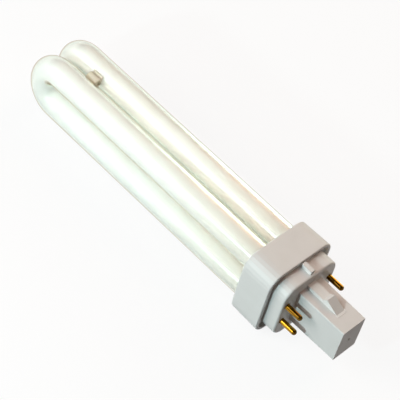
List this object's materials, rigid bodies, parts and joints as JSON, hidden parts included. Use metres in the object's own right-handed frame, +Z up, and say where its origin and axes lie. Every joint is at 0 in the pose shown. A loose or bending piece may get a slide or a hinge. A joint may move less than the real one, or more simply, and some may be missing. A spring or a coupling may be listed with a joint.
{
  "type": "four pin compact fluorescent lamp",
  "caption": "Plug-in double-U compact fluorescent lamp: white coated glass tubes on a square moulded cap with a rectangular key post, side catches and brass contact pins.",
  "frame": {"origin": "centre of the lamp's box in plan, on the surface that it lies on", "axes": "+Z up, +X along the lamp from its plug to its bends, +Y across the two U tubes"},
  "size_m": [0.1724, 0.0346, 0.0346],
  "materials": {
    "coated_glass": "clear glass with a white phosphor coat inside",
    "clear_silicone": "clear, slightly yellow",
    "white_plastic": "satin moulded white",
    "basing_cement": "matte cast",
    "brass": "bright drawn",
    "nickel_wire": "drawn wire"
  },
  "bodies": {
    "root": {"glass_tube": "coated_glass", "tube_spacer": "clear_silicone", "cap_collar": "white_plastic", "cap_base": "white_plastic", "tube_cement": "basing_cement", "pin_1": "brass", "pin_2": "brass", "pin_3": "brass", "pin_4": "brass", "lead_1": "nickel_wire", "lead_2": "nickel_wire", "lead_3": "nickel_wire", "lead_4": "nickel_wire"}
  },
  "joints": []
}
